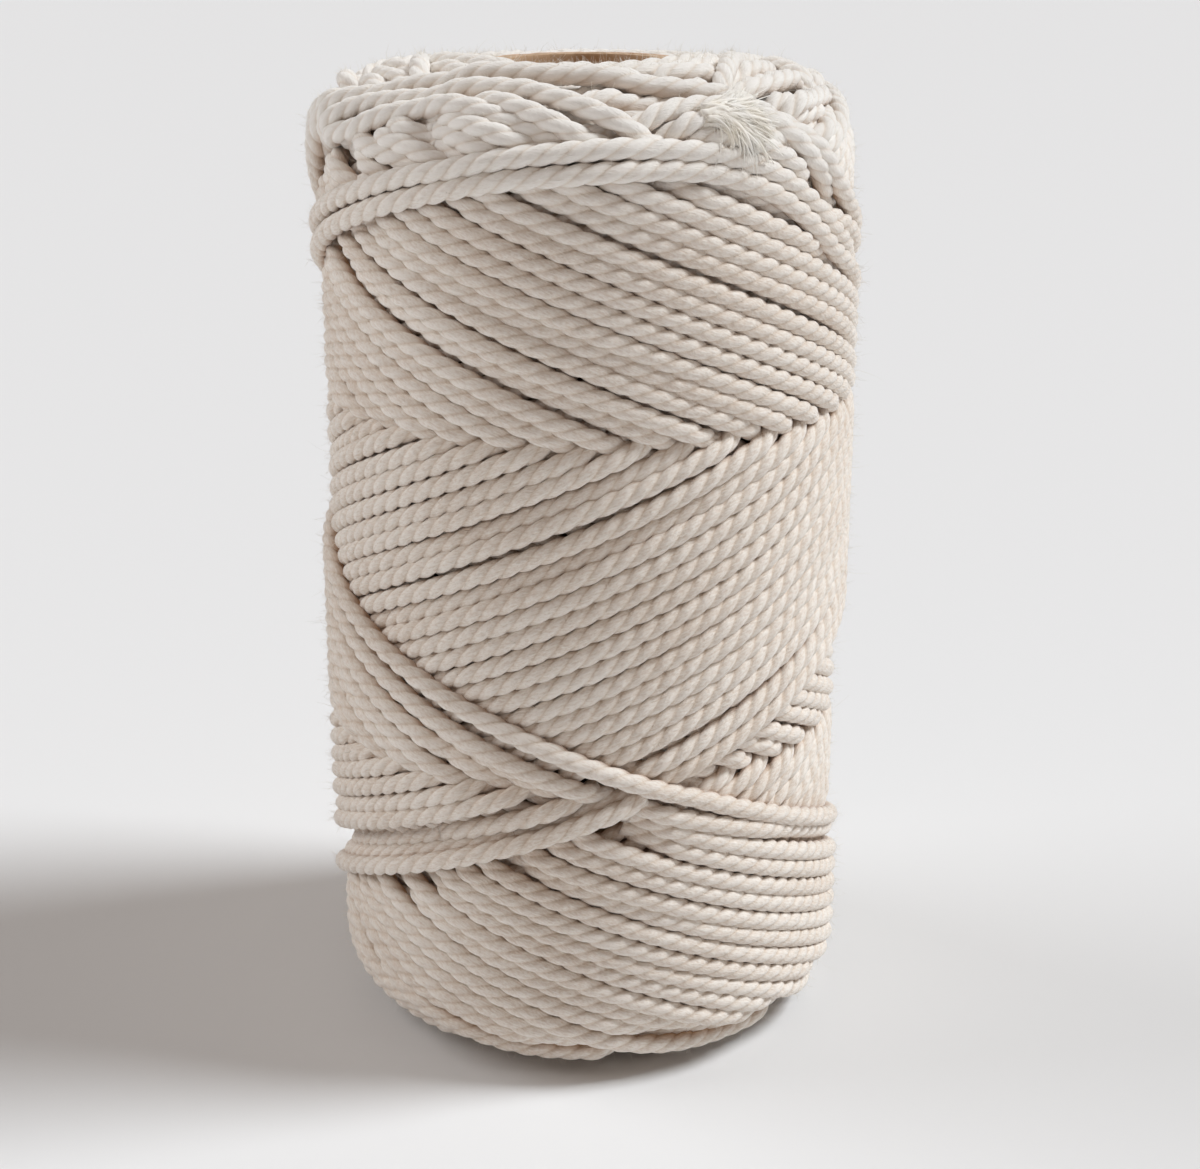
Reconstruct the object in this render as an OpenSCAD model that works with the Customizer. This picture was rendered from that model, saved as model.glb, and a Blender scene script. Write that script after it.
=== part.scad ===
// Cross-wound roll of twisted cotton cord on a plain cardboard tube.
// Millimetres, +Z up. The origin is the centre of the bore at the tube's lower end.

/* [Tube] */
// Length of the cardboard tube
tube_length = 160; // [130:1:220]
// Diameter of the bore, which a spindle or a shelf peg passes through
bore_d = 25.4; // [16:0.1:38]
// Thickness of the smooth paper that lines the bore
liner_t = 0.5; // [0.3:0.1:1]
// Thickness of the innermost ply of board
inner_board_t = 0.8; // [0.4:0.1:1.2]
// Thickness of the middle ply of board
middle_board_t = 0.8; // [0.4:0.1:1.2]
// Thickness of the outermost ply of board
outer_board_t = 0.8; // [0.4:0.1:1.2]
// Thickness of the smooth paper wrapped round the outside
wrap_t = 0.6; // [0.3:0.1:1]

/* [Winding] */
// Diameter of the cord
cord_d = 3; // [2:0.1:3.6]
// Diameter over the outermost turns
package_d = 90; // [84:1:130]
// Bare tube left showing at each end
bare_end = 1.2; // [0.6:0.1:6]
// Radius of the winding's rounded shoulders
shoulder_r = 10; // [9:0.5:14]
// How far round the shoulder the cord climbs before it turns back, in degrees
reversal_tilt = 62; // [40:1:70]
// Angle on each side of a reversal in which the cord bends back, in degrees
reversal_arc = 30; // [20:1:30]
// Strokes up and down that the outer layer makes
double_strokes = 6; // [5:1:6]
// Clear space between two turns where one crosses over the other
crossing_gap = 0.9; // [0.8:0.1:1.4]
// Direction that the last reversal at the top points to, in degrees from +X
last_reversal_angle = -85; // [-180:1:180]

/* [Cut end] */
// Length of the frayed end
fray_length = 11; // [5:0.5:13]
// Widest part of the frayed end, as a multiple of the cord's diameter
fray_flare = 1.4; // [1.1:0.05:1.5]

/* [Hidden] */

// Facets of a full circle, steps of a quarter round, and sides of the cord's section
round_fn = 96;
quarter_steps = 6;
cord_sides = 6;
// Overshoot of a cutting solid past the faces that it opens
cut = 1;
// Space kept between the outer layer and the turns beneath it
seat_gap = 0.3;

// Radii between the tube's plies, from the bore outwards
liner_r = bore_d/2;
inner_board_r = liner_r + liner_t;
middle_board_r = inner_board_r + inner_board_t;
outer_board_r = middle_board_r + middle_board_t;
wrap_r = outer_board_r + outer_board_t;
tube_r = wrap_r + wrap_t;

// The winding is a barrel: straight for straight_half on each side of mid_z, then rounded
// about a circle of radius shoulder_centre_r
mid_z = tube_length/2;
straight_half = mid_z - bare_end - shoulder_r;
shoulder_centre_r = package_d/2 - shoulder_r;

// Depths below the barrel's outside: of the turns that cross over and those that cross
// under, and of the core that carries them
over_depth = cord_d/2;
crossing_step = cord_d + crossing_gap;
under_depth = over_depth + crossing_step;

// The cord makes three turns and a bit in one double stroke, so each reversal falls next
// to an older one and the layer closes into an even net
turns_in_net = 3*double_strokes + 1;
crossing_angle = 180/double_strokes;
rings_per_crossing = 2;
ring_angle = crossing_angle/rings_per_crossing;
rings_per_turn = 360/ring_angle;
rings_per_stroke = rings_per_crossing*turns_in_net;
chord_sag = (package_d/2 - under_depth)*(1 - cos(ring_angle/2));
core_depth = under_depth + chord_sag + cord_d/2 + seat_gap;

// Sharp corners of the zigzag lie past the rounded reversals by half a reversal's rise
reversal_steps = reversal_arc/crossing_angle;
reversal_reach = (shoulder_r - over_depth)*reversal_tilt*PI/180;
corner_travel = (straight_half + reversal_reach)/(1 - reversal_steps/turns_in_net);
travel_step = 2*corner_travel/turns_in_net;

// The layer starts low down, a few rings after the first reversal, and ends just after
// the last reversal at the top
first_ring = 5;
last_reversal_ring = (2*double_strokes - 1)*rings_per_stroke;
last_ring = last_reversal_ring + 1;

function unit(v) = v/norm(v);

// Part of v that is square to the unit vector t, as a unit vector
function square_to(v, t) = unit(v - (v*t)*t);

// Points of an arc about centre from angle a to angle b
function arc(centre, r, a, b) = [
    for (k = [0:quarter_steps])
        let (angle = a + (b - a)*k/quarter_steps)
        centre + r*[cos(angle), sin(angle)]
];

// Stroke that a ring is in, crossings passed since that stroke's start, and the same
// counted from the bottom
function stroke_of(ring) = floor(ring/rings_per_stroke);
function steps_into(ring) = (ring % rings_per_stroke)/rings_per_crossing;
function steps_up(ring) = stroke_of(ring) % 2 == 0 ? steps_into(ring) : turns_in_net - steps_into(ring);

// Travel along the barrel's side from its middle, rounded near the reversals
function rounded(steps) =
    steps > reversal_steps ? steps : (reversal_steps + steps*steps/reversal_steps)/2;
function travel(ring) =
    let (up = steps_up(ring))
    2*up < turns_in_net
        ? travel_step*rounded(up) - corner_travel
        : corner_travel - travel_step*rounded(turns_in_net - up);

// Stroke that crosses a given stroke at a given crossing. The later stroke lies on top.
function other_stroke(stroke, up) =
    let (cycle = floor(stroke/2))
    stroke % 2 == 0
        ? 2*((cycle + up - 1) % double_strokes) + 1
        : 2*((cycle - up + 1 + turns_in_net*double_strokes) % double_strokes);
function lies_over(ring) = stroke_of(ring) > other_stroke(stroke_of(ring), steps_up(ring)) ? 1 : 0;

// Height among the crossings, 0 under and 1 over, halfway between them in between
function level(ring) =
    let (place = ring % rings_per_stroke)
    place % rings_per_crossing > 0
        ? (level(ring - 1) + level(ring + 1))/2
        : place == 0
            ? (lies_over(ring - rings_per_crossing) + lies_over(ring + rings_per_crossing))/2
            : lies_over(ring);

// Outward direction and place at a ring, on the barrel
function ring_heading(ring) = last_reversal_angle + (ring - last_reversal_ring)*ring_angle;
function ring_tilt(ring) =
    sign(travel(ring))*max(abs(travel(ring)) - straight_half, 0)/(shoulder_r - over_depth)*180/PI;
function outward(ring) =
    let (heading = ring_heading(ring), tilt = ring_tilt(ring))
    [cos(heading)*cos(tilt), sin(heading)*cos(tilt), sin(tilt)];
function place_of(ring) =
    let (
        heading = ring_heading(ring),
        reach = shoulder_r - under_depth + crossing_step*level(ring),
        straight = max(-straight_half, min(straight_half, travel(ring)))
    )
    [shoulder_centre_r*cos(heading), shoulder_centre_r*sin(heading), mid_z + straight]
        + reach*outward(ring);

// A frame is a ring's centre, its direction of travel and its outward direction
function frame_on(place, heading, out) = [place, heading, square_to(out, heading)];

turn_places = [for (ring = [first_ring:last_ring]) place_of(ring)];
turn_count = len(turn_places);
first_heading = unit(turn_places[1] - turn_places[0]);
last_heading = unit(turn_places[turn_count - 1] - turn_places[turn_count - 2]);
turn_frames = [
    for (k = [0:turn_count - 1])
        frame_on(
            turn_places[k],
            k == 0 ? first_heading
                : k == turn_count - 1 ? last_heading
                : unit(turn_places[k + 1] - turn_places[k - 1]),
            outward(first_ring + k)
        )
];

// The first end comes straight up out of the inner turns for one diameter, then bends
// over on to them
lead_bend_r = cord_d;
lead_steps = 4;
lead_out = turn_frames[0][2];
lead_centre = turn_places[0] - lead_bend_r*lead_out;
lead_base = lead_centre - lead_bend_r*first_heading - cord_d*lead_out;
lead_frames = concat(
    [[lead_base, lead_out, -first_heading]],
    [for (k = [0:lead_steps - 1])
        let (
            angle = 90*(1 - k/lead_steps),
            out = lead_out*cos(angle) - first_heading*sin(angle)
        )
        [lead_centre + lead_bend_r*out, lead_out*sin(angle) + first_heading*cos(angle), out]
    ]
);

// The last end runs straight for one diameter up to the frayed end
cut_place = turn_places[turn_count - 1] + cord_d*last_heading;
cut_out = turn_frames[turn_count - 1][2];
cord_frames = concat(lead_frames, turn_frames, [[cut_place, last_heading, cut_out]]);

// The frayed end as [share of its length, share of its flare], from the cut outwards
fray_shape = [[0, 0], [0.3, 0.7], [0.7, 1], [1, 0.4]];
fray_frames = [
    for (part = fray_shape)
        [cut_place + part[0]*fray_length*last_heading, last_heading, cut_out]
];
fray_sizes = [for (part = fray_shape) cord_d*(1 + part[1]*(fray_flare - 1))];

// Corners of the cord's section at a frame
function section(frame, d) =
    let (side = cross(frame[2], frame[1]))
    [for (k = [0:cord_sides - 1])
        let (angle = 360*k/cord_sides)
        frame[0] + d/2*(cos(angle)*frame[2] + sin(angle)*side)
    ];

// Closed tube of triangles through frames, each with its own diameter
module tube_through(frames, sizes) {
    last = len(frames) - 1;
    corners = [for (k = [0:last]) each section(frames[k], sizes[k])];
    walls = [
        for (k = [0:last - 1], s = [0:cord_sides - 1])
            let (
                a = k*cord_sides + s,
                b = k*cord_sides + (s + 1) % cord_sides
            )
            each [[a, b, a + cord_sides], [b, b + cord_sides, a + cord_sides]]
    ];
    caps = [
        for (s = [1:cord_sides - 2])
            each [
                [0, s + 1, s],
                [last*cord_sides, last*cord_sides + s, last*cord_sides + s + 1]
            ]
    ];
    polyhedron(corners, concat(walls, caps), convexity = 10);
}

// Distance from a point to a straight piece of cord
function distance_to(point, a, b) =
    let (
        run = b - a,
        share = max(0, min(1, (point - a)*run/(run*run)))
    )
    norm(point - a - share*run);

// Least clear space between the cord and every other turn of itself, measured from
// points along it to the straight pieces of the turns that pass near them
measure_shares = [0, 0.25, 0.5, 0.75];
function least_gap() =
    let (loops = floor(turn_count/rings_per_turn))
    min([
        for (k = [0:turn_count - 2], share = measure_shares, loop = [1:loops], near = [-2:1])
            let (
                point = turn_places[k]*(1 - share) + turn_places[k + 1]*share,
                m = k + loop*rings_per_turn + near
            )
            if (m >= 0 && m < turn_count - 1)
                distance_to(point, turn_places[m], turn_places[m + 1])
    ]) - cord_d;

// One glued ply of the tube
module ply(inner_r, thickness) {
    difference() {
        cylinder(r = inner_r + thickness, h = tube_length, $fn = round_fn);
        translate([0, 0, -cut])
            cylinder(r = inner_r, h = tube_length + 2*cut, $fn = round_fn);
    }
}

module tube_liner_ply() {
    color("#b98f66") ply(liner_r, liner_t);
}

module tube_inner_board_ply() {
    color("#a67d56") ply(inner_board_r, inner_board_t);
}

module tube_middle_board_ply() {
    color("#b0875f") ply(middle_board_r, middle_board_t);
}

module tube_outer_board_ply() {
    color("#a67d56") ply(outer_board_r, outer_board_t);
}

module tube_wrap_ply() {
    color("#d2a57c") ply(wrap_r, wrap_t);
}

// The wound cord under the outer layer, as one plain core: its side and shoulders carry
// the outer layer, and its ends stand out to the ends of the winding
core_shoulder = shoulder_r - core_depth;
end_r = shoulder_centre_r - cord_d/2;
end_round = cord_d;
end_z = mid_z - bare_end;
function core_half(side) = [
    for (point = concat(
        arc([shoulder_centre_r, straight_half], core_shoulder, 0, 90),
        [[end_r, straight_half + core_shoulder]],
        arc([end_r - end_round, end_z - end_round], end_round, 0, 90),
        [[tube_r, end_z]]
    ))
        [point[0], mid_z + side*point[1]]
];
function reversed(list) = [for (k = [len(list) - 1:-1:0]) list[k]];

module inner_winding() {
    color("#d8c9b4")
        difference() {
            rotate_extrude($fn = round_fn)
                polygon(concat(core_half(1), reversed(core_half(-1))));
            lead_socket();
        }
}

// The gap between inner turns that the outer layer's first end comes up through
module lead_socket() {
    heading = atan2(lead_out[1], lead_out[0]);
    slope = acos(lead_out[2]);
    translate(lead_base)
        rotate([0, slope, heading])
            cylinder(d = cord_d + 2*seat_gap, h = core_depth + cord_d, $fn = round_fn);
}

module outer_winding() {
    echo(least_gap_mm = least_gap(), loops = turn_count/rings_per_turn);
    color("#efe6d8")
        tube_through(cord_frames, [for (frame = cord_frames) cord_d]);
}

module frayed_end() {
    color("#f3ead0")
        tube_through(fray_frames, fray_sizes);
}

tube_liner_ply();
tube_inner_board_ply();
tube_middle_board_ply();
tube_outer_board_ply();
tube_wrap_ply();
inner_winding();
outer_winding();
frayed_end();
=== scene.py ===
# %% [markdown]
# # A roll of three-strand cotton cord
# About eighty metres of undyed, 3 mm twisted cotton cord are cross-wound on a plain board
# tube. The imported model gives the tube, the size of the roll and its place, so the first step
# brings it in. All that follows is built around it, in metres, with Z up.

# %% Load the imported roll
import math
import bmesh
import bpy
import numpy as np
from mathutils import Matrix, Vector


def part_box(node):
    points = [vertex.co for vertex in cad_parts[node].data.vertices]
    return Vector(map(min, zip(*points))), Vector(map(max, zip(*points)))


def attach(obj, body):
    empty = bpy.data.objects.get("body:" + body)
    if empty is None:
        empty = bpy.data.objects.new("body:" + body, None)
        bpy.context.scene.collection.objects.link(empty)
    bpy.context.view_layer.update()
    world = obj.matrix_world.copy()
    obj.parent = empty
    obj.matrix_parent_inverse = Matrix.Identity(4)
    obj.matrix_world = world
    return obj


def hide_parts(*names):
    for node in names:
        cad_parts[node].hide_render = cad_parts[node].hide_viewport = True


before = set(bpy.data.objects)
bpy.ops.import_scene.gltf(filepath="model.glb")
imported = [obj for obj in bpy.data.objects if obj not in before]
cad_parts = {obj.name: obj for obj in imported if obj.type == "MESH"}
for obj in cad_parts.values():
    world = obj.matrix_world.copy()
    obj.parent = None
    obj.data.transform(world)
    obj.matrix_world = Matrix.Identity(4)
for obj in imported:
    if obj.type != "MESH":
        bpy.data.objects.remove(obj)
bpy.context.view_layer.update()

# %% [markdown]
# ## Camera
# The roll is seen from the front and a little from above, close enough for its top to look
# wider than its foot. A camera 0.34 m from the tube's axis, tipped 18.8 degrees down, gives
# that; the small sideways shift puts the roll just left of the middle.

# %% Camera
TIPPED_DOWN = 18.8             # degrees
camera_data = bpy.data.cameras.new("camera")
camera_data.lens = 62.7
camera_data.sensor_width = 36.0
camera_data.shift_x = 0.0117
camera = bpy.data.objects.new("camera", camera_data)
camera.location = (0.0, -0.340, 0.188)
camera.rotation_euler = (math.radians(90 - TIPPED_DOWN), 0, 0)
bpy.context.scene.collection.objects.link(camera)
bpy.context.scene.camera = camera
bpy.context.scene.view_settings.view_transform = "Standard"
print("camera", tuple(camera.location), camera_data.lens)

# %% [markdown]
# ## Floor and light
# A pale floor carries the roll and its shadow. A broad light high on the right gives the cords
# soft shade in their grooves, a weaker one brings out the left edge, and a faint warm one fills
# the front. The room around adds a dim, warm light of its own, while the backdrop stays pale.

# %% Floor
bpy.ops.object.select_all(action="DESELECT")
bpy.ops.mesh.primitive_plane_add(size=9.0, location=(0, 0, 0))
floor = bpy.context.object
floor.name = "floor"
floor_paint = bpy.data.materials.new("floor_paint")
floor_paint.use_nodes = True
floor_shader = floor_paint.node_tree.nodes["Principled BSDF"]
floor_shader.inputs["Base Color"].default_value = (0.80, 0.805, 0.81, 1)
floor_shader.inputs["Roughness"].default_value = 0.75
floor_shader.inputs["Specular IOR Level"].default_value = 0.2
floor.data.materials.append(floor_paint)
print("floor", floor.name)

# %% Lamps
def soft_sun(name, toward, strength, spread, tint):
    """A broad, even light that shines from the given side."""
    sun = bpy.data.lights.new(name, "SUN")
    sun.energy = strength
    sun.angle = math.radians(spread)
    sun.color = tint
    holder = bpy.data.objects.new(name, sun)
    holder.rotation_euler = Vector(toward).to_track_quat("Z", "Y").to_euler()
    bpy.context.scene.collection.objects.link(holder)

soft_sun("window_light", (0.85, 0.04, 1.0), 2.7, 18, (0.935, 0.97, 1.0))
soft_sun("left_edge", (-0.95, 0.20, 0.60), 1.15, 40, (0.97, 0.98, 1.0))
soft_sun("front_fill", (-0.35, -1.0, 0.50), 0.10, 70, (1.0, 0.60, 0.40))

# %% Light of the room, and the backdrop that is seen in its place
world = bpy.data.worlds.new("room")
bpy.context.scene.world = world
world.use_nodes = True
room_nodes = world.node_tree.nodes
room_light = room_nodes["Background"]
room_light.inputs["Color"].default_value = (1.0, 0.85, 0.74, 1)
room_light.inputs["Strength"].default_value = 0.20
backdrop = room_nodes.new("ShaderNodeBackground")
backdrop.inputs["Color"].default_value = (0.80, 0.805, 0.81, 1)
seen = room_nodes.new("ShaderNodeLightPath")
either = room_nodes.new("ShaderNodeMixShader")
for source, target in ((seen.outputs["Is Camera Ray"], either.inputs[0]),
                       (room_light.outputs[0], either.inputs[1]),
                       (backdrop.outputs[0], either.inputs[2]),
                       (either.outputs[0], room_nodes["World Output"].inputs["Surface"])):
    world.node_tree.links.new(source, target)
print("world:", world.name)

# %% [markdown]
# ## The outside of the winding
# A cross-wound roll is a barrel with round shoulders. Everything wound on it is placed by two
# numbers: the angle round the tube, and the distance along the outline from the foot up the
# side, over the shoulder and in across the end. On the side that distance is the height.

# %% Outline of the roll
CORD = 1.5            # radius of the cord, mm
SIDE = 43.8           # radius of the outside of the winding
SHOULDER = 10.0
FOOT, HEAD = 1.2, 158.8

def outline(along):
    """Radius, height and outward direction of the outside, for a distance along it."""
    quarter = SHOULDER * math.pi / 2
    up, down = HEAD - SHOULDER, FOOT + SHOULDER
    over = np.clip((along - up) / SHOULDER, 0, math.pi / 2)
    under = np.clip((down - along) / SHOULDER, 0, math.pi / 2)
    radius = (SIDE - SHOULDER * (1 - np.cos(over)) - SHOULDER * (1 - np.cos(under))
              - np.maximum(along - up - quarter, 0) - np.maximum(down - quarter - along, 0))
    height = np.clip(along, down, up) + SHOULDER * np.sin(over) - SHOULDER * np.sin(under)
    return radius, height, np.cos(over) * np.cos(under), np.sin(over) - np.sin(under)

print("outline at half height:", [round(float(v), 2) for v in outline(np.array(80.0))])

# %% [markdown]
# ## The path of the cord
# The winder lays one stroke up and one stroke down in three turns and a little more, so each
# new pass lies one cord to the right of the last. At each end the cord swings round in a
# smooth curve, and there it slips a little along the shoulder.

# %% Path of the cord
STEP = 0.75                    # degrees between two samples
SAMPLE_MM = 0.62               # cord in one sample, mm
PER_TURN = int(360 / STEP)
STROKE = 545.2                 # degrees of turning in one stroke
SWING = 45.0                   # half the angle over which a stroke turns back
SLIP_REACH = 70.0              # degrees to each side over which a swing slips
TURN_AT_HEAD, TURN_AT_FOOT = 163.5, -3.5
LAST_FOOT = 197.0              # angle at which the newest stroke turns back at the foot
CYCLES = 48                    # strokes up and down that are laid

print("samples in one stroke:", int(STROKE / STEP))

# %% Corners, where a stroke turns back
luck = np.random.default_rng(7)
count = 2 * CYCLES + 1
number = np.arange(count)
corner_angle = LAST_FOOT - (count - 1 - number) * STROKE + luck.normal(0, 0.3, count)
at_head = (count - 1 - number) % 2 == 1
corner_along = np.where(at_head, TURN_AT_HEAD, TURN_AT_FOOT) + luck.normal(0, 0.25, count)
spread = (number * 0.618034) % 1
slip = np.where(at_head, -3.5 + 7.5 * spread, 3.0 - 6.0 * spread)
corner_angle[-1] = LAST_FOOT
corner_along[-4:] = (161.5, -2.0, 158.2, -1.5)
slip[-4:] = 0
slip[[-6, -8, -10, -12]] = 0
slip[[-14, -16, -18, -20, -22]] = (3.2, 1.6, 1.0, 4.0, 3.6)
corner_angle = np.append(corner_angle, corner_angle[-1] + STROKE)
corner_along = np.append(corner_along, 163.0)
print("corners:", len(corner_angle))

# %% Round each corner off
BEYOND = 175                   # degrees that the newest cord runs on after its last corner
first, last = math.ceil(corner_angle[0] / STEP), math.floor((LAST_FOOT + BEYOND) / STEP)
angle = np.arange(first, last + 1) * STEP
along = np.interp(angle, corner_angle, corner_along)
for j in range(1, count):
    before = (corner_along[j] - corner_along[j - 1]) / (corner_angle[j] - corner_angle[j - 1])
    after = (corner_along[j + 1] - corner_along[j]) / (corner_angle[j + 1] - corner_angle[j])
    x = angle - corner_angle[j]
    near = np.abs(x) < SWING
    along[near] = (corner_along[j] + before * x[near]
                   + (after - before) * (x[near] + SWING) ** 2 / (4 * SWING))
    near = np.abs(x) < SLIP_REACH
    along[near] += slip[j] * (0.5 + 0.5 * np.cos(math.pi * x[near] / SLIP_REACH)) ** 1.5
print("samples:", len(angle), "metres:", round(len(angle) * SAMPLE_MM / 1000, 1))

# %% Where the newest swings slid on the shoulder
SLIDE_REACH = 490              # degrees from its corner that a slide may reach
slides = {                     # corner, counted back from the newest: (degrees from it, mm of slide)
    2: [(-120, 0), (-78, 0.9), (-57, 0.1), (-39, -1.6), (-16, -3.1), (13, -3.6), (27, -5.2),
        (37, -7.5), (50, -10.6), (80, -11.7), (130, -7), (200, 0),
        (240, 0), (265, 1.2), (330, 1.3), (370, 0.6), (400, 0), (430, -0.4), (470, 0)],
    4: [(-120, 0), (-66, -1.1), (-46, -2.7), (-29, -4.2), (-6, -3.9), (8, -3.2), (24, -2.6),
        (37, -3.2), (49, -4.7), (61, -7.5), (90, -9), (140, -5), (200, 0),
        (260, 0), (290, -1.4), (330, -1.6), (370, -1.2), (410, 0)],
    6: [(-90, 0), (-75, 5), (-60, 11.4), (-50, 13.4), (-40, 14), (-20, 11.5), (0, 9.5), (20, 10),
        (30, 10.7), (40, 11.5), (50, 10.7), (60, 6.8), (70, 2.9), (80, 0.5), (90, 0)],
    8: [(-90, 0), (-48, 4), (-41, 6.4), (-27, 6.6), (7, 5.5), (16, 3.1), (22, 1.5), (26, 0.7),
        (30, -0.3), (33, -0.8), (40, -1), (55, 0)],
    10: [(-80, 0), (-60, 4), (-40, 7), (-20, 7), (0, 5.7), (11, 3.4), (21, 1.4), (29, -0.3),
         (40, -0.8), (55, 0)],
    12: [(-60, 0), (-30, -4.5), (-16, -3.5), (-9, -0.8), (0, 1.3), (6, 2), (16, 1.9), (25, 1.3),
         (50, 0)],
    14: [(5, 0), (16, 0.2), (21, -0.5), (26, -1.1), (31, -0.8), (36, -0.5), (50, 0)],
    16: [(5, 0), (21, 1.1), (26, 0.6), (31, 0.1), (36, -0.3), (41, 0.1), (46, 0.6), (56, 0)],
    18: [(10, 0), (20, -0.8), (26, -0.8), (31, 0), (36, 0.2), (46, -0.2), (56, 0)],
    20: [(10, 0), (27, -1.2), (31, -2), (37, -1), (42, 0.2), (47, 1), (52, 1.1), (62, 0)],
    22: [(10, 0), (25, -1.5), (33, -2.8), (42, -1.2), (47, -0.2), (52, 0.9), (57, 1.6), (68, 0)],
}
for back, slide in slides.items():
    x = angle - corner_angle[count - back]
    part = np.flatnonzero(np.abs(x) < SLIDE_REACH)
    moved = np.interp(x[part], [p[0] for p in slide], [p[1] for p in slide], 0, 0)
    along[part] += np.convolve(moved, np.hanning(15)[1:-1] / np.hanning(15).sum(), "same")
print("hand-set swings:", sorted(slides))

# %% Slow wander of the hand
def wander(n, every, size, seed):
    """Smooth random values, one for each sample, that change over `every` samples."""
    knots = np.random.default_rng(seed).normal(0, size, int(n / every) + 3)
    x = np.arange(n) / every
    i = x.astype(int)
    f = x - i
    f = f * f * (3 - 2 * f)
    return knots[i] * (1 - f) + knots[i + 1] * f

along = along + wander(len(angle), 60 / STEP, 0.14, 3)
print("lowest and highest place along the outline:", round(along.min(), 1), round(along.max(), 1))

# %% [markdown]
# ## Over and under
# Each pass lies on all the older ones. Working backwards from the newest, a grid round the
# roll remembers how far down the next cord has to lie to clear what is already on top of it,
# so the newest cords touch the outside and the older ones dip beneath them at each crossing.

# %% The grid that remembers what lies on top
CELL = 0.25                    # mm along the outline
LOWEST = -22.0                 # where the grid starts along the outline
CELLS = int(204 / CELL)
BESIDE, ACROSS = 2.62, 2.45    # how close two cords lie side by side, and one over the other
MARGIN = 30                    # samples looked at on each side of a stretch that is laid
ceiling = np.zeros((PER_TURN, CELLS), np.float32)
bend = np.hanning(19)[1:-1]
bend /= bend.sum()

def run_of_cord(turned, place, least=0.0):
    """The samples of one length of cord, and where each falls on the grid."""
    tilt = np.gradient(place, STEP * math.pi / 180 * SIDE)
    n = len(turned)
    return {"angle": turned, "along": place, "column": np.round(turned / STEP).astype(int) % PER_TURN,
            "square": 1 / np.sqrt(1 + tilt ** 2), "least": np.zeros(n) + least,
            "above": np.full(n, np.nan), "depth": np.zeros(n)}

def lay_under(cord, a, b):
    """Puts the samples a to b under what is there, and marks the room that they take."""
    p, q = max(a - MARGIN, 0), min(b + MARGIN, len(cord["along"]))
    cell = np.clip(np.round((cord["along"][p:q] - LOWEST) / CELL).astype(int), 0, CELLS - 1)
    found = np.maximum(ceiling[cord["column"][p:q], cell], cord["least"][p:q])
    found = np.where(np.isnan(cord["above"][p:q]), found, cord["above"][p:q])
    cord["above"][a:b] = found[a - p:b - p]
    found = np.convolve(np.pad(found, len(bend) // 2, mode="edge"), bend, "valid")
    depth = cord["depth"][a:b] = found[a - p:b - p]
    reach = int(BESIDE / CELL) + 1
    cells = cell[a - p:b - p, None] + np.arange(-reach, reach + 1)
    away = (cells * CELL + LOWEST - cord["along"][a:b, None]) * cord["square"][a:b, None]
    room = ACROSS * np.sqrt(np.maximum(1 - (away / BESIDE) ** 2, 0))
    room = np.where(np.abs(away) < BESIDE, depth[:, None] + room, 0)
    columns = np.repeat(cord["column"][a:b, None], 2 * reach + 1, 1)
    np.maximum.at(ceiling, (columns, np.clip(cells, 0, CELLS - 1)), room)

print("grid:", ceiling.shape)

# %% Lay the newest of the wound cord
NEWEST_CYCLES = 12             # strokes up and down that lie over the listed swings

def lay_stretch(cord, first, last, chunk=80):
    for end in range(last, first, -chunk):
        lay_under(cord, max(end - chunk, first), end)

wound = run_of_cord(angle, along)
last_foot = int(round((LAST_FOOT - angle[0]) / STEP))
newest_stroke = last_foot - int(STROKE / STEP)
older = len(angle) - int(NEWEST_CYCLES * 2 * STROKE / STEP)
lay_stretch(wound, newest_stroke, last_foot)
lay_stretch(wound, last_foot, len(angle))
lay_stretch(wound, older, newest_stroke)
print("newest laid, deepest mm:", round(float(wound["depth"].max()), 1))

# %% Lay the cut end
end_angle = np.arange(-4, 26.3, STEP)
end_along = np.interp(end_angle, (-4, 6, 13.5, 21.5, 26.5), (146.5, 150.2, 153.5, 155.9, 156.6))
cut_end = run_of_cord(end_angle, end_along)
lay_stretch(cut_end, 0, len(end_angle))
print("cut end, samples:", len(end_angle))

# %% Lay the swings in front, then the older cord
def steps_between(start, end):
    """The sampled angles from start to end."""
    return np.arange(math.ceil(start / STEP), math.floor(end / STEP) + 1) * STEP

def lay_swing(middle, peak, span, drop, power=2.0, top=True):
    """One swing across the face or the shoulder; its two ends run down under what lies there."""
    turned = steps_between(middle - span, middle + span)
    place = peak - drop * (np.abs(turned - middle) / span) ** power
    swing = run_of_cord(turned, place if top else HEAD + FOOT - place)
    lay_stretch(swing, 0, len(turned))
    return swing

def lay_path(*stops):
    """One cord laid through the given stops: angle, and distance along the outline."""
    turned = steps_between(stops[0][0], stops[-1][0])
    place = np.interp(turned, [p[0] for p in stops], [p[1] for p in stops])
    padded = np.pad(place, 6, mode="reflect", reflect_type="odd")
    laid = run_of_cord(turned, np.convolve(padded, np.hanning(15)[1:-1] / 7, "valid"))
    lay_stretch(laid, 0, len(turned))
    return laid

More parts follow.
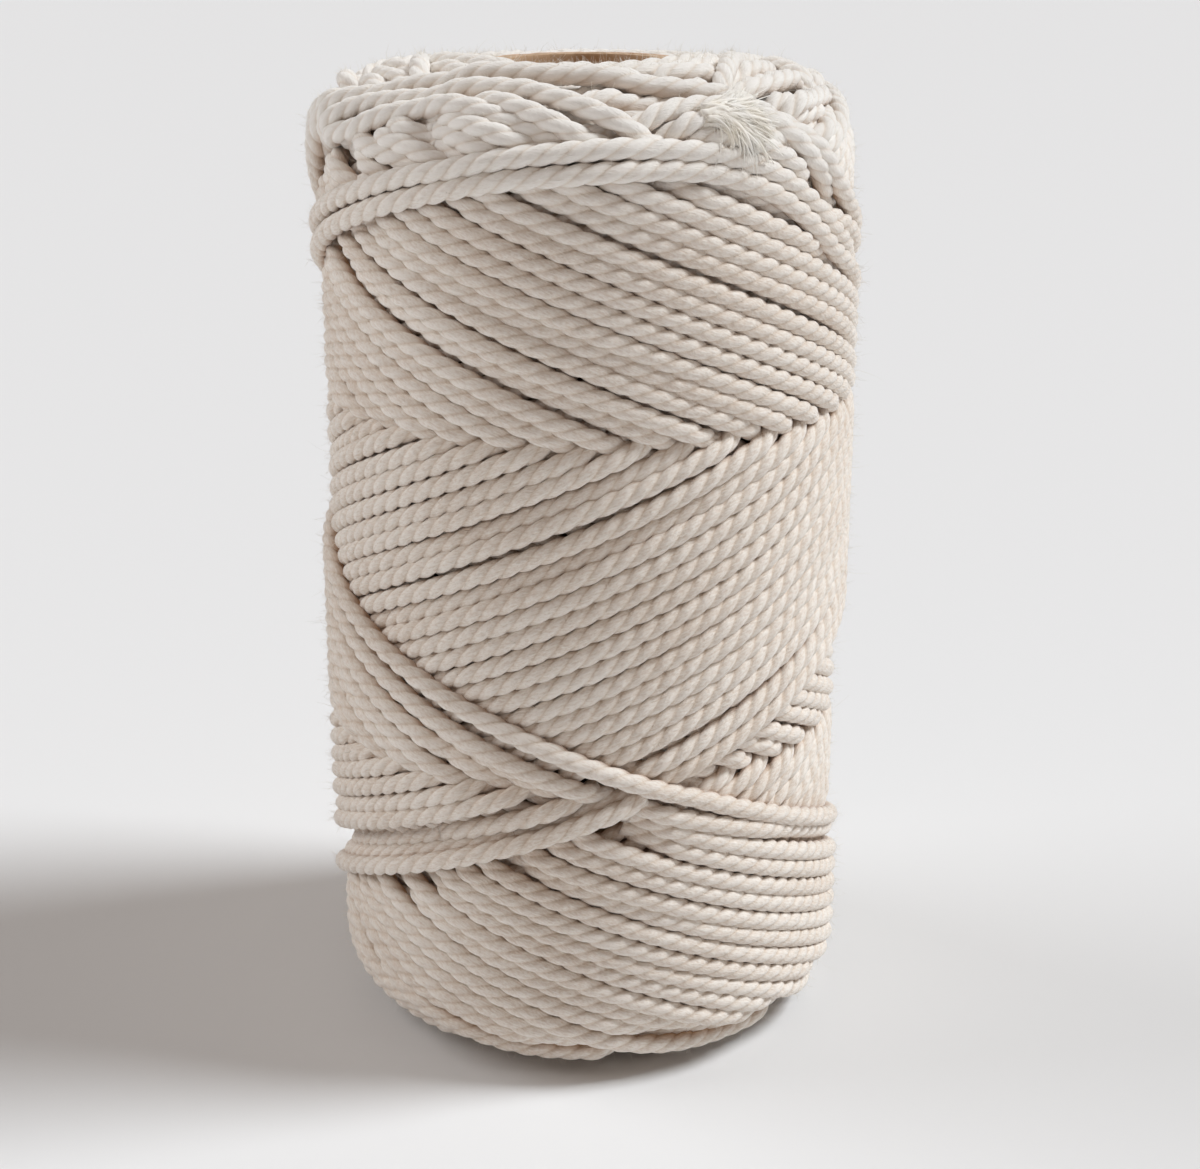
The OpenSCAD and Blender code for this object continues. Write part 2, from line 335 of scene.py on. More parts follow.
swings = [
    lay_path((-10, 147), (4, 153.6), (10, 156.3), (18, 159.1), (24, 159.8), (29, 159.6),
             (34, 158.6), (40, 156.3), (45, 153.2), (50, 149.5), (60, 143.1), (72, 136.0)),
    lay_path((4, 146.5), (10, 149.5), (16, 152.4), (22, 153.5), (30, 152.8), (40, 150.2),
             (50, 145.8), (60, 140.3), (72, 133.5)),
    lay_path((8, 150.5), (14, 154.2), (20, 156.2), (26, 156.6), (33, 155.3), (40, 153.3),
             (50, 147.8), (60, 141.5)),
    lay_path((-24, 151.5), (-14, 156.5), (-5, 160.4), (2, 162.4), (9, 163.9), (14, 164.6),
             (20, 164.7), (28, 163.7), (36, 161.0), (46, 156), (58, 149)),
    lay_swing(8, 168.8, 45, 22, 1.6), lay_swing(0, 171.2, 50, 24, 1.6)]
lay_stretch(wound, 0, older)
column, depth = wound["column"], wound["depth"]
print("metres on top:", round(float((depth < 1.2).sum()) * SAMPLE_MM / 1000, 1))

# %% [markdown]
# ## The two ends of the winding
# Each layer turned back at the ends when it was the outside one, so the ends show cord all the
# way in to the tube. The last swings come over the shoulder in a wide curve and go back; they
# lie on the older turns, which close the face in one flat coil.

# %% Lay the last swings over the ends
SWING_ENDS = 155.0             # place along the outline where the ends of a swing go under
quarter = SHOULDER * math.pi / 2

def face_place(radius, top):
    """Distance along the outline of a radius on one of the two end faces."""
    inward = SIDE - SHOULDER - radius
    return HEAD - SHOULDER + quarter + inward if top else FOOT + SHOULDER - quarter - inward

for top in (True, False):
    for k in range(7 if top else 12):
        middle = (76 + 40 * k if top else 30 * k) + luck.normal(0, 3)
        peak = luck.uniform(168.0, 175.0)
        swings.append(lay_swing(middle, peak, luck.uniform(54, 62), peak - SWING_ENDS, 2.1, top))
print("last swings:", len(swings))

# %% Lay the flat coil beneath them
COIL_OUT, COIL_IN = 37.6, 17.8 # radius of the coil's outermost and innermost turn, mm
COIL_TURNS, COIL_PITCH = 6.9, 2.86

for top in (True, False):
    turned = np.arange(0, 360 * COIL_TURNS, STEP)
    radius = (COIL_OUT - COIL_PITCH * turned / 360 + 0.3 * np.sin(np.radians(turned * 1.37))
              + 0.2 * np.sin(np.radians(turned * 3.1)))
    coil = run_of_cord(turned if top else -turned, face_place(np.maximum(radius, COIL_IN), top),
                       0.5 + 0.5 * np.sin(np.radians(turned * 2.23)))
    lay_stretch(coil, 0, len(turned))
    swings.append(coil)
print("coil, deepest mm:", round(float(coil["depth"].max()), 1))

# %% [markdown]
# ## The newest bands stand proud
# The last cords laid lie on a full layer, while just beyond them the surface is one cord
# lower. The age of the newest cord over each place says how proud the surface stands there.

# %% Height of the newest bands
AGE_OF_LAYER = 34.6            # strokes up and down that one full layer takes
PROUD = 1.6                    # how far the newest cords stand out, mm
HALF_CORD = 8                  # cells from the middle of a cord to its side, with the gap beside it
going_up = np.gradient(along) > 0
proud = 0
for way in (True, False):
    newest = np.full((PER_TURN, CELLS), -1, np.int64)
    some = np.where(going_up == way)[0]
    for k in range(-HALF_CORD, HALF_CORD + 1):
        cells = np.clip(np.round((along[some] - LOWEST) / CELL).astype(int) + k, 0, CELLS - 1)
        np.maximum.at(newest, (column[some], cells), some)
    age = (len(angle) - newest) / (2 * STROKE / STEP)
    proud = proud + PROUD * (1 - np.clip(age / AGE_OF_LAYER, 0, 1))
cell = np.round((np.clip(along, 8, 149) - LOWEST) / CELL).astype(int)
soften = np.hanning(23)[1:-1] / np.hanning(23).sum()
lift = np.convolve(np.pad(proud[column, cell], 10, mode="edge"), soften, "valid") - PROUD
print("newest cord stands out by, mm:", round(float(lift.max()), 2))

# %% Centre line of a cord
FRONT_RISE, BACK_SINK, DOME = 2.6, 0.9, 1.7    # of the soft head, mm
PRESSED, PRESSED_OVER = 1.7, 2.5               # most that deep cords sink, and over what depth, mm

def swell(along, front):
    """How far the soft head of the roll stands above its outline, most at the front."""
    over = np.clip((along - 160) / 11, 0, 1)
    over = over * over * (3 - 2 * over)
    dome = np.sin(math.pi * np.clip((along - 162) / 24, 0, 1))
    front = np.clip((front + 0.6) / 1.1, 0, 1)
    return over * (FRONT_RISE * front - BACK_SINK) + DOME * dome

def settle(cord, lift=0.0):
    """Centre points of a cord in mm, and the way out of the roll. Deep cords lie closer."""
    cord["shade"] = np.maximum(cord["depth"] - lift, 0)
    radius, height, out_r, out_z = outline(cord["along"])
    buried = np.maximum(cord["depth"] - ACROSS, 0)
    inset = CORD + np.minimum(cord["depth"], ACROSS)
    inset = inset + PRESSED * (1 - np.exp(-buried / PRESSED_OVER)) - lift
    s, c = np.sin(np.radians(cord["angle"])), np.cos(np.radians(cord["angle"]))
    r, z = radius - out_r * inset, height - out_z * inset + swell(cord["along"], c)
    cord["points"] = np.stack([r * s, -r * c, z], -1)
    cord["outward"] = np.stack([out_r * s, -out_r * c, out_z], -1)

settle(wound, lift)
print("highest centre point, mm:", round(float(wound["points"][:, 2].max()), 1))

# %% [markdown]
# ## Sweeping the cord
# The cord is three strands laid round each other, one full turn in 10.6 mm. Its section is three
# round lobes, and each ring of the swept tube is turned a little further than the last, so
# the grooves run round the cord as they do between real strands.

# %% Section of the cord
LAY = 10.6                     # length of one full twist, mm
STRAND, OFFSET = 1.10, 0.56    # radius of one strand, and of the circle its middle runs on, mm
SHADE_DEPTH = 10               # depth in the roll that the "lie" map gives as 1, mm

def lobes(turns):
    """Radius of the three-lobed section at an angle given in strands (0 is a lobe's crown)."""
    a = (np.mod(turns + 0.5, 1) - 0.5) * 2 * math.pi / 3
    return OFFSET * np.cos(a) + np.sqrt(STRAND ** 2 - (OFFSET * np.sin(a)) ** 2)

FINE = np.array([0.5, 0.6, 0.8, 1.0, 1.2, 1.4])
fine_ring = np.concatenate([FINE + k for k in range(3)])
coarse_ring = np.concatenate([np.array([0.5, 0.8, 1.2]) + k for k in range(3)])
print("section radii:", np.round(lobes(fine_ring), 2))

# %% Sweep
def sweep(points, outward, deep, ring, scale=1.0, phase=0.0):
    """Points and quads of a twisted cord, and two maps: its strands, and how it lies."""
    tangent = np.gradient(points, axis=0)
    tangent /= np.linalg.norm(tangent, axis=1, keepdims=True)
    normal = outward - tangent * (outward * tangent).sum(1, keepdims=True)
    normal /= np.linalg.norm(normal, axis=1, keepdims=True)
    side = np.cross(tangent, normal)
    run = np.concatenate([[0], np.cumsum(np.linalg.norm(np.diff(points, axis=0), axis=1))]) + phase
    turn = 2 * math.pi * (ring[None, :] / 3 - run[:, None] / LAY)
    r = lobes(ring)[None, :, None] * scale
    round_it = np.cos(turn)[..., None] * normal[:, None] + np.sin(turn)[..., None] * side[:, None]
    verts = points[:, None, :] + r * round_it
    n, m = len(points), len(ring)
    i = np.arange(n - 1)[:, None]
    j = np.arange(m)[None, :]
    k = (j + 1) % m
    quads = np.stack([i * m + j, i * m + k, (i + 1) * m + k, (i + 1) * m + j], -1).reshape(-1, 4)
    v0 = np.broadcast_to(ring[j] / 3, (n - 1, m))
    v1 = np.broadcast_to(np.where(j + 1 < m, ring[k], ring[0] + 3) / 3, (n - 1, m))
    u0 = np.broadcast_to(run[:-1, None], (n - 1, m))
    u1 = np.broadcast_to(run[1:, None], (n - 1, m))
    corners = [np.stack(c, -1) for c in ((u0, v0), (u0, v1), (u1, v1), (u1, v0))]
    uv = np.stack(corners, 2).reshape(-1, 2)
    # The lie map holds how far each point faces out and how deep it lies; the cotton paints shade from
    # it.
    facing = 0.5 + 0.5 * np.cos(turn)
    how_deep = np.broadcast_to(deep[:, None] / SHADE_DEPTH, turn.shape)
    lie = np.stack([facing, how_deep], -1).reshape(-1, 2)[quads.ravel()]
    return verts.reshape(-1, 3), quads, (uv, lie), (n, m)

print("sweep ready")

# %% Build an object from its points and faces
def new_object(name, verts, loops, starts, maps=()):
    """One smooth object: points in metres, the faces' points in a row, and each face's start."""
    mesh = bpy.data.meshes.new(name)
    mesh.vertices.add(len(verts))
    mesh.vertices.foreach_set("co", verts.astype(np.float32).ravel())
    mesh.loops.add(len(loops))
    mesh.loops.foreach_set("vertex_index", loops.astype(np.int32))
    mesh.polygons.add(len(starts))
    mesh.polygons.foreach_set("loop_start", starts.astype(np.int32))
    mesh.polygons.foreach_set("use_smooth", np.ones(len(starts), bool))
    for map_name, values in maps:
        values = np.concatenate(values).astype(np.float32).ravel()
        mesh.uv_layers.new(name=map_name).data.foreach_set("uv", values)
    mesh.update(calc_edges=True)
    piece = bpy.data.objects.new(name, mesh)
    bpy.context.scene.collection.objects.link(piece)
    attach(piece, "root")
    return piece

def make_piece(name, parts):
    """One smooth object from several swept cords, in millimetres, with the ends closed."""
    verts, loops, starts, strand, lies = [], [], [], [], []
    base = start = 0
    for v, q, (uv, lie), (n, m) in parts:
        caps = np.concatenate([np.arange(m)[::-1], np.arange(m) + (n - 1) * m]) + base
        verts.append(v)
        loops += [(q + base).ravel(), caps]
        starts += [start + np.arange(len(q)) * 4, start + len(q) * 4 + np.array([0, m])]
        strand += [uv, np.zeros((2 * m, 2))]
        lies += [lie, np.full((2 * m, 2), 0.5)]
        start += len(q) * 4 + 2 * m
        base += len(v)
    verts, loops = np.concatenate(verts) * 0.001, np.concatenate(loops)
    return new_object(name, verts, loops, np.concatenate(starts), (("strand", strand), ("lie", lies)))

def triangles(o):
    return sum(len(p.vertices) - 2 for p in o.data.polygons)

print("mesh maker ready")

# %% [markdown]
# ## The cords that can be seen
# Most of the eighty metres lie hidden. Only stretches near the outside are swept: those on
# top with a fine section, and those one or two cords down, which show in the gaps, with a
# plainer one.

# %% Choose what shows
TOP_DEPTH, UNDER_DEPTH, END_DEPTH = 2.2, 5.4, 7.0   # how deep cords are swept, mm

def stretches(keep, grow, least):
    """Runs of samples where keep is true, each grown at both ends."""
    wide = np.convolve(keep.astype(float), np.ones(2 * grow + 1), "same") > 0.5
    edges = np.flatnonzero(np.diff(np.concatenate([[0], wide.astype(int), [0]])))
    return [(a, b) for a, b in zip(edges[::2], edges[1::2]) if b - a > least]

def measured(cord):
    """Distance along a cord at each sample, mm."""
    return np.concatenate([[0], np.cumsum(np.linalg.norm(np.diff(cord["points"], axis=0), axis=1))])

arc = measured(wound)
top_runs = stretches(depth < TOP_DEPTH, 6, 12)
shown = np.zeros(len(angle), bool)
for a, b in top_runs:
    shown[a:b] = True
under_runs = stretches((depth < UNDER_DEPTH) & ~shown, 2, 8)
for kind, runs in (("fine", top_runs), ("plain", under_runs)):
    print("metres swept,", kind + ":", round(sum(arc[b - 1] - arc[a] for a, b in runs) / 1000, 1))

# %% Cord pieces
MOST = 185000                  # triangles in one piece

def cord_pieces(name, lengths, ring):
    """Sweeps (points, outward, phase) lengths into as many pieces as they need."""
    pieces, parts, size = [], [], 0
    for line, out, deep, phase in lengths:
        while len(line) > 1:
            room = int((MOST - size) / (2 * len(ring)))
            if room < 40:
                pieces.append(make_piece(f"{name}_{len(pieces) + 1:02d}", parts))
                parts, size = [], 0
                continue
            parts.append(sweep(line[:room], out[:room], deep[:room], ring, phase=phase))
            size += min(len(line), room) * 2 * len(ring)
            phase = phase + np.linalg.norm(np.diff(line[:room], axis=0), axis=1).sum()
            line, out, deep = line[room - 1:], out[room - 1:], deep[room - 1:]
    pieces.append(make_piece(f"{name}_{len(pieces) + 1:02d}", parts))
    return pieces

def lengths_of(cord, runs, every=1):
    mm = measured(cord)
    return [(cord["points"][a:b:every], cord["outward"][a:b:every], cord["shade"][a:b:every], mm[a])
            for a, b in runs]

print("piece maker ready")

# %% Sweep all that shows
top_cords = cord_pieces("wound_cord", lengths_of(wound, top_runs), fine_ring)
under_cords = cord_pieces("wound_cord_beneath", lengths_of(wound, under_runs, 2), coarse_ring)
swing_lengths = []
for w in swings:
    settle(w)
    swing_lengths += lengths_of(w, stretches(w["depth"] < END_DEPTH, 6, 12), 2)
end_cords = cord_pieces("end_swings", swing_lengths, fine_ring)
settle(cut_end)
tail = cord_pieces("cut_cord", lengths_of(cut_end, [(0, len(cut_end["angle"]))]), fine_ring)
print("pieces:", [(o.name, triangles(o)) for o in top_cords + under_cords + end_cords + tail])
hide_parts("outer_winding")

# %% [markdown]
# ## The imported middle
# Behind the cords that show lies the rest of the winding, packed tight. One turned body
# stands for it, so no light passes through the gaps; its dark colour is painted shade.

# %% Packed middle
def turned_body(name, outline_points, steps=96):
    """A closed outline (radius, height in mm) spun once round the tube's axis."""
    bpy.ops.object.select_all(action="DESELECT")
    bpy.ops.mesh.primitive_plane_add(size=0.002, location=(0.03, 0, 0.08), rotation=(math.pi / 2, 0, 0))
    body = bpy.context.object
    body.name = name
    bpy.ops.object.mode_set(mode="EDIT")
    shape = bmesh.from_edit_mesh(body.data)
    bmesh.ops.delete(shape, geom=list(shape.verts), context="VERTS")
    inward = body.matrix_world.inverted()
    ring = [shape.verts.new(inward @ Vector((r * 0.001, 0, z * 0.001))) for r, z in outline_points]
    for p, q in zip(ring, ring[1:] + ring[:1]):
        shape.edges.new((p, q))
    bmesh.update_edit_mesh(body.data)
    bpy.ops.mesh.select_all(action="SELECT")
    bpy.ops.mesh.spin(steps=steps, angle=2 * math.pi, center=(0, 0, 0), axis=(0, 0, 1))
    bpy.ops.mesh.remove_doubles(threshold=0.00001)
    bpy.ops.mesh.normals_make_consistent(inside=False)
    bpy.ops.object.mode_set(mode="OBJECT")
    bpy.ops.object.transform_apply(location=True, rotation=True, scale=True)
    bpy.ops.object.shade_smooth()
    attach(body, "root")
    return body

UNDER_SIDE, UNDER_END = 6.4, 8.2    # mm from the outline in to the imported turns
rows = zip(*outline(np.linspace(-21.0, 181.0, 90)))
packed = turned_body("packed_turns", [(float(r - out_r * UNDER_SIDE), float(z - out_z * UNDER_END))
                                      for r, z, out_r, out_z in rows])
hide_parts("inner_winding")
print(packed.name, triangles(packed))

# %% [markdown]
# ## The board tube
# The tube is rolled up from five plies: a smooth liner, three plies of brown board and a
# smooth wrap. Each is a thin pipe. A circle is pulled up into a wall, the wall is given its
# thickness, and its edges are rounded a little. The cut rims are then made uneven,
# because a saw leaves board soft and a little ragged.

# %% Plies of the tube
TALL = 0.16                    # height of a wall, m, and the rises from ring to ring that make it up
RISES = (0.0006, 0.0794, 0.0794, 0.0006)
FRAYED_RIM = 0.0008            # how far in from a rim the board is ragged, m
NICKS = 60                     # uneven places round a rim

def ply(node, inner, outer, ragged, seed):
    """A thin pipe between two radii in mm, as tall as the tube."""
    low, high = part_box(node)
    bpy.ops.object.select_all(action="DESELECT")
    bpy.ops.mesh.primitive_circle_add(vertices=180, radius=outer * 0.001, fill_type="NOTHING",
                                      location=(0, 0, low.z))
    pipe = bpy.context.object
    pipe.name = node.replace("_ply", "_wall")
    bpy.ops.object.mode_set(mode="EDIT")
    bpy.ops.mesh.select_all(action="SELECT")
    for rise in RISES:
        up = (0, 0, rise * (high.z - low.z) / TALL)
        bpy.ops.mesh.extrude_region_move(TRANSFORM_OT_translate={"value": up})
    bpy.ops.mesh.select_all(action="SELECT")
    bpy.ops.mesh.normals_make_consistent(inside=False)
    bpy.ops.object.mode_set(mode="OBJECT")
    bpy.ops.object.transform_apply(location=True)
    wall = pipe.modifiers.new("wall", "SOLIDIFY")
    wall.thickness = (outer - inner) * 0.001
    wall.offset = -1
    rounded = pipe.modifiers.new("rounded", "BEVEL")
    rounded.width = 0.00012
    rounded.segments = 2
    rounded.limit_method = "ANGLE"
    for m in ("wall", "rounded"):
        bpy.ops.object.modifier_apply(modifier=m)
    around = np.random.default_rng(seed).normal(0, 1, NICKS)
    for v in pipe.data.vertices:
        near_end = max(0.0, 1 - min(v.co.z - low.z, high.z - v.co.z) / FRAYED_RIM)
        if near_end > 0:
            t = (math.atan2(v.co.x, v.co.y) / (2 * math.pi) % 1) * NICKS
            bump = around[int(t) % NICKS] * (1 - t % 1) + around[(int(t) + 1) % NICKS] * (t % 1)
            v.co.z -= math.copysign(near_end * ragged * abs(bump) * 0.001, v.co.z - TALL / 2)
    bpy.ops.object.shade_smooth_by_angle(angle=math.radians(40))
    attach(pipe, "root")
    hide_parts(node)
    return pipe

walls = {}
for node, inner, outer, ragged in (("tube_liner_ply", 12.70, 13.20, 0.03),
                                   ("tube_inner_board_ply", 13.20, 14.00, 0.11),
                                   ("tube_middle_board_ply", 14.00, 14.80, 0.13),
                                   ("tube_outer_board_ply", 14.80, 15.60, 0.10),
                                   ("tube_wrap_ply", 15.60, 16.20, 0.04)):
    walls[node] = ply(node, inner, outer, ragged, len(walls) + 20)
print("tube:", [(o.name, triangles(o)) for o in walls.values()])

# %% [markdown]
# ## The cut end and the fuzz
# The cord was cut with scissors, and past the cut its strands open into a small brush that
# lies on the shoulder. All over the roll single cotton fibres have worked loose. Each of
# those is a three-sided sliver; thousands of hairs stay light that way.

# %% Fibres
def fibre_piece(name, paths, thick, sides=3):
    """One object of tapered fibres. paths is (fibres, points, 3) in mm."""
    n, k, _ = paths.shape
    tangent = np.gradient(paths, axis=1)
    tangent /= np.linalg.norm(tangent, axis=2, keepdims=True) + 1e-9
    a = np.cross(tangent, np.array([0.31, 0.22, 0.93]))
    a /= np.linalg.norm(a, axis=2, keepdims=True) + 1e-9
    b = np.cross(tangent, a)
    taper = np.linspace(1, 0.35, k)[None, :, None] * thick[:, None, None]
    corners = [paths + taper * (math.cos(t) * a + math.sin(t) * b)
               for t in np.arange(sides) * 2 * math.pi / sides]
    verts = np.stack(corners, 2).reshape(-1, 3) * 0.001
    base = np.arange(n)[:, None, None] * k * sides
    i, j = np.arange(k - 1)[None, :, None] * sides, np.arange(sides)[None, None, :]
    after = (j + 1) % sides
    quads = np.stack(np.broadcast_arrays(base + i + j, base + i + after, base + i + sides + after,
                                         base + i + sides + j), -1).reshape(-1, 4)
    first, last = np.arange(n)[:, None] * k * sides, (np.arange(n)[:, None] * k + k - 1) * sides
    ends = np.concatenate([first + np.arange(sides)[::-1], last + np.arange(sides)])
    starts = np.concatenate([np.arange(len(quads)) * 4, len(quads) * 4 + np.arange(len(ends)) * sides])
    return new_object(name, verts, np.concatenate([quads.ravel(), ends.ravel()]), starts)

print("fibre maker ready")

# %% Brush at the cut end
TUFT_RADIUS = 41.0             # of the shoulder where the brush lies, mm

def brush_lines(count, joints, longest, shortest, fan_from, fan_to, spread_in, curl_size, high, seed):
    """Lines that fan out over the shoulder from the cut, in mm."""
    pick = np.random.default_rng(seed)
    u = np.linspace(0, 1, joints)[None, :]

    def draw(least, most):
        return pick.uniform(least, most, (count, 1))

    fan = np.radians(draw(fan_from, fan_to))
    long = draw(shortest, longest)
    curl = pick.normal(0, curl_size, (count, 1)) * u ** 2
    bent = fan * u ** 0.6
    foot = cut_end["angle"][-1] - draw(0, 2.5)
    turn = foot + np.degrees((long * u * np.cos(bent) + curl) / TUFT_RADIUS)
    place = cut_end["along"][-1] + draw(-spread_in, spread_in) + long * u * np.sin(bent) + curl
    rise = draw(-2.2, 0.2) * (1 - u) + draw(high - 1.0, high + 0.5) * u + 0.5 * np.sin(math.pi * u)
    r, z, out_r, out_z = outline(place)
    turned = np.radians(turn)
    r, z = r + out_r * rise, z + out_z * rise + swell(place, np.cos(turned))
    return np.stack([r * np.sin(turned), -r * np.cos(turned), z], -1)

pick = np.random.default_rng(12)
locks = fibre_piece("cut_locks", brush_lines(70, 12, 11.5, 4.0, -58, 16, 1.4, 0.8, 0.3, 14),
                    pick.uniform(0.32, 0.68, 70), 8)
yarns = fibre_piece("cut_yarns", brush_lines(150, 12, 12.0, 5.0, -66, 26, 1.7, 1.2, 0.6, 13),
                    pick.uniform(0.09, 0.2, 150), 5)
brush = fibre_piece("cut_brush", brush_lines(200, 8, 13.0, 4.0, -75, 40, 1.7, 2.0, 1.0, 11),
                    pick.uniform(0.025, 0.04, 200))
print([(o.name, triangles(o)) for o in (locks, yarns, brush)])

# %% Loose fibres all over the roll
ABOVE_FLOOR, HIGHEST = 0.1, 164.5    # no fibre reaches lower or higher, mm

def loose_fibres(name, count, joints, longest, shortest, thick, seed):
    """Fibres rooted in cords on the outside, in mm; most are short."""
    pick = np.random.default_rng(seed)
    outside = [(wound, depth < 0.9)] + [(w, w["depth"] < 1.2) for w in swings]
    roots = np.concatenate([cord["points"][bare] for cord, bare in outside])
    out = np.concatenate([cord["outward"][bare] for cord, bare in outside])
    which = pick.integers(0, len(roots), count)
    roots, out = roots[which], out[which]
    across = np.cross(out, pick.normal(size=(count, 3)))
    across /= np.linalg.norm(across, axis=1, keepdims=True)
    lean = pick.uniform(-1.2, 1.2, count)[:, None]
    side = out * np.cos(lean) + across * np.sin(lean)
    roots = roots + side * (CORD * 0.9)
    reach = (shortest + (longest - shortest) * pick.uniform(0, 1, count) ** 2.2)[:, None]
    way = side * 0.75 + out * 0.35 + pick.normal(0, 0.55, (count, 3))
    way /= np.linalg.norm(way, axis=1, keepdims=True)
    bow = np.cross(way, pick.normal(size=(count, 3)))
    bow /= np.linalg.norm(bow, axis=1, keepdims=True)
    u = np.linspace(0, 1, joints)[None, :, None]
    swing_of = pick.uniform(-0.6, 0.6, count)[:, None, None]
    paths = roots[:, None] + (way[:, None] * u + bow[:, None] * swing_of * u ** 2) * reach[:, None]
    paths = paths[(paths[:, :, 2].min(1) > ABOVE_FLOOR) & (paths[:, :, 2].max(1) < HIGHEST)]
    return fibre_piece(name, paths, pick.uniform(0.6, 1.0, len(paths)) * thick)

fuzz = [loose_fibres("short_fuzz", 23000, 2, 1.5, 0.5, 0.033, 5),
        loose_fibres("more_fuzz", 13500, 3, 2.6, 0.8, 0.028, 8),
        loose_fibres("long_fuzz", 420, 8, 6.0, 1.8, 0.026, 6)]
print("fuzz:", [(o.name, triangles(o)) for o in fuzz])

# %% [markdown]
# ## Cotton
# The strands are spun cotton: fine fibres that run along each strand at a slant, matt, with a
# little sheen where they stand up. The colour drifts between cream and a warmer beige. Painted
# shade darkens it in the grooves and between cords, and painted light makes it palest on the
# head, where the light from above falls. The pattern follows each cord's own map, so it turns
# with the strands.

# %% Helpers for finishes
class Finish:
    """A material with its Principled shader, and short ways to add and join nodes."""
    def __init__(self, name):
        self.material = bpy.data.materials.new(name)
        self.material.use_nodes = True
        self.tree = self.material.node_tree
        self.shader = self.tree.nodes["Principled BSDF"]

    def node(self, kind, joins=(), **values):
        n = self.tree.nodes.new("ShaderNode" + kind)
        for key, value in values.items():
            if hasattr(n, key):
                setattr(n, key, value)
            else:
                n.inputs[key.replace("_", " ")].default_value = value
        for socket, source in joins:
            self.join(source, n.inputs[socket])
        return n

    def join(self, source, target):
        self.tree.links.new(source, target)

    def maths(self, how, a, b=None):
        n = self.tree.nodes.new("ShaderNodeMath")
        n.operation = how
        for socket, value in zip(n.inputs, (a, b)):
            if value is None:
                continue
            if isinstance(value, (int, float)):
                socket.default_value = value
            else:
                self.join(value, socket)
        return n.outputs[0]

    def colours(self, factor, stops):
        n = self.tree.nodes.new("ShaderNodeValToRGB")
        self.join(factor, n.inputs["Fac"])
        while len(n.color_ramp.elements) < len(stops):
            n.color_ramp.elements.new(0.5)
        for element, (place, colour) in zip(n.color_ramp.elements, stops):
            element.position = place
            element.color = (*colour, 1)
        return n.outputs["Color"]

    def mixed(self, factor, a, b, how="MIX"):
        n = self.tree.nodes.new("ShaderNodeMix")
        n.data_type = "RGBA"
        n.blend_type = how
        for name, value in (("Factor", factor), ("A", a), ("B", b)):
            kind = "VALUE" if name == "Factor" else "RGBA"
            socket = [s for s in n.inputs if s.name == name and s.type == kind][0]
            if isinstance(value, (int, float)):
                socket.default_value = value
            elif isinstance(value, tuple):
                socket.default_value = (*value, 1)
            else:
                self.join(value, socket)
        return [s for s in n.outputs if s.type == "RGBA"][0]

print("finish helpers ready")

# %% Streaks and shade of the cord
def streaks(f, run, lengthwise, along_scale, round_scale, detail):
    """Fibres that run along a strand: stretched noise on the cord's own map."""
    at = f.node("CombineXYZ", [("X", f.maths("MULTIPLY", run, along_scale)),
                               ("Y", f.maths("MULTIPLY", lengthwise, round_scale))])
    noise = f.node("TexNoise", [("Vector", at.outputs["Vector"])],
                   Scale=1.0, Detail=detail, Roughness=0.6)
    return noise.outputs["Fac"]

def groove_shade_mask(f, turns):
    """Where painted shade goes: 0 on a strand's crown, rising steeply to 0.75 in the groove beside it.
    """
    across = f.maths("FRACT", f.maths("ADD", f.maths("MULTIPLY", turns, 3.0), 0.5))
    across = f.maths("MULTIPLY", f.maths("ABSOLUTE", f.maths("SUBTRACT", across, 0.5)), 2.0)
    return f.maths("MULTIPLY", f.maths("POWER", across, 4.0), 0.75)

def shut_in(f, head_light):
    """How little light gets to a spot, for painted shade: it faces inwards or lies deep. Under the
    painted light on the head it is halved.
    """
    lie = f.node("SeparateXYZ", [("Vector", f.node("UVMap", uv_map="lie").outputs["UV"])])
    inwards = f.maths("MULTIPLY", f.maths("SUBTRACT", 0.68, lie.outputs["X"]), 2.0)
    both = f.maths("ADD", inwards, f.maths("MULTIPLY", lie.outputs["Y"], 0.9))
    both = f.node("Clamp", [("Value", both)]).outputs["Result"]
    return f.maths("MULTIPLY", both, f.maths("SUBTRACT", 1.0, f.maths("MULTIPLY", head_light, 0.5)))

print("cotton helpers ready")

# %% Cotton of the cord
HEAD_LIGHT_FROM, HEAD_LIGHT_TO = 0.136, 0.155     # heights between which the painted light on the head fades in, m
